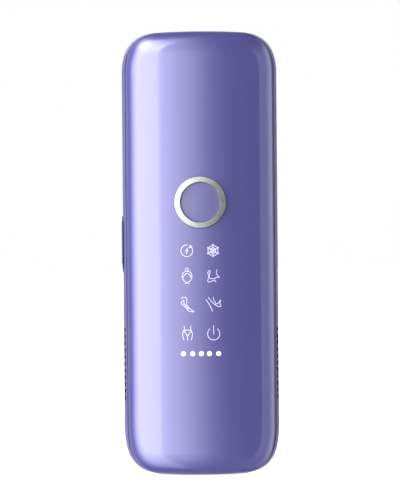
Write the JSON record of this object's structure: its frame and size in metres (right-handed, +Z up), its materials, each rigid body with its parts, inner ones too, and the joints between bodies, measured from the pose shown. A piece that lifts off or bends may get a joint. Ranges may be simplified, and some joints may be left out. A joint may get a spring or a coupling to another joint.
{
  "type": "light epilator",
  "caption": "Hand-held flash-lamp epilator: arched two-shell body with a round button, side button, air slots, cooled lamp window in the top end and an inner fan.",
  "frame": {"origin": "below the middle of the body, level with its lower end", "axes": "+Z up along the length towards the lamp window, -Y towards the front face with the round button, -X towards the side button"},
  "size_m": [0.0565, 0.0379, 0.16],
  "materials": {
    "purple_gloss": "pearlescent lacquer, high gloss",
    "purple_shell": "painted, high gloss",
    "dark_plastic": "satin",
    "black_plastic": "fine texture",
    "grey_plastic": "moulded",
    "satin_metal": "satin",
    "aluminium": "machined",
    "bright_metal": "polished",
    "steel": "zinc plated",
    "copper": "bare copper",
    "sapphire": "polished",
    "quartz": "clear",
    "amber_glass": "polished",
    "rubber": "soft",
    "board_green": "solder resist",
    "ceramic": "unglazed",
    "light_white": "diffusing",
    "ferrite": "sintered",
    "wire_red": "silicone insulation"
  },
  "bodies": {
    "handset": {"front_cover": "purple_gloss", "rear_shell": "purple_shell", "head_bezel": "dark_plastic", "sapphire_window": "sapphire", "window_gasket": "rubber", "skin_sensors": "bright_metal", "button_ring": "satin_metal", "button_spring": "steel", "button_switch_body": "black_plastic", "side_button_bezel": "dark_plastic", "side_switch_board": "board_green", "side_switch_body": "black_plastic", "level_lights": "light_white", "diffuser_film": "light_white", "light_guide": "black_plastic", "touch_leds": "light_white", "touch_board": "board_green", "control_chip": "black_plastic", "board_connectors": "ceramic", "ribbon_cable": "ceramic", "chassis": "grey_plastic", "chassis_screws": "steel", "main_board": "board_green", "board_screws": "steel", "flash_capacitors": "aluminium", "transformer_core": "ferrite", "transformer_winding": "copper", "trigger_coil": "copper", "power_transistors": "black_plastic", "heat_sink": "aluminium", "heat_pipes": "copper", "hot_plate": "aluminium", "peltier_modules": "ceramic", "cold_plate": "copper", "temperature_sensor": "ceramic", "optical_filter": "amber_glass", "lamp_reflector": "bright_metal", "flash_lamp_tube": "quartz", "lamp_electrodes": "steel", "lamp_holders": "ceramic", "lamp_housing": "black_plastic", "lamp_leads": "wire_red", "fan_housing": "black_plastic", "fan_bearing": "copper", "fan_stator": "copper", "fan_screws": "steel", "fan_lead": "wire_red", "dc_jack": "black_plastic", "dc_jack_pin": "bright_metal", "jack_lead": "wire_red", "left_vent_screen": "black_plastic", "right_vent_screen": "black_plastic"},
    "button": {"main_button": "purple_gloss", "button_switch_plunger": "grey_plastic"},
    "side_key": {"side_button": "purple_shell", "side_switch_plunger": "grey_plastic"},
    "fan": {"fan_rotor": "black_plastic", "rotor_magnet": "ferrite", "fan_axle": "steel"}
  },
  "joints": [
    {"name": "main_button_press", "type": "slide", "parent": "handset", "child": "button", "axis": [0, 1, 0], "range_m": [0, 0.0006], "stiffness_N_per_m": 2500, "deforming": ["button_spring"]},
    {"name": "side_button_press", "type": "slide", "parent": "handset", "child": "side_key", "axis": [1, 0, 0], "range_m": [0, 0.0004], "stiffness_N_per_m": 2500},
    {"name": "fan_spin", "type": "hinge", "parent": "handset", "child": "fan", "pos_m": [0, 0.01, 0.04], "axis": [0, 1, 0], "continuous": true}
  ]
}
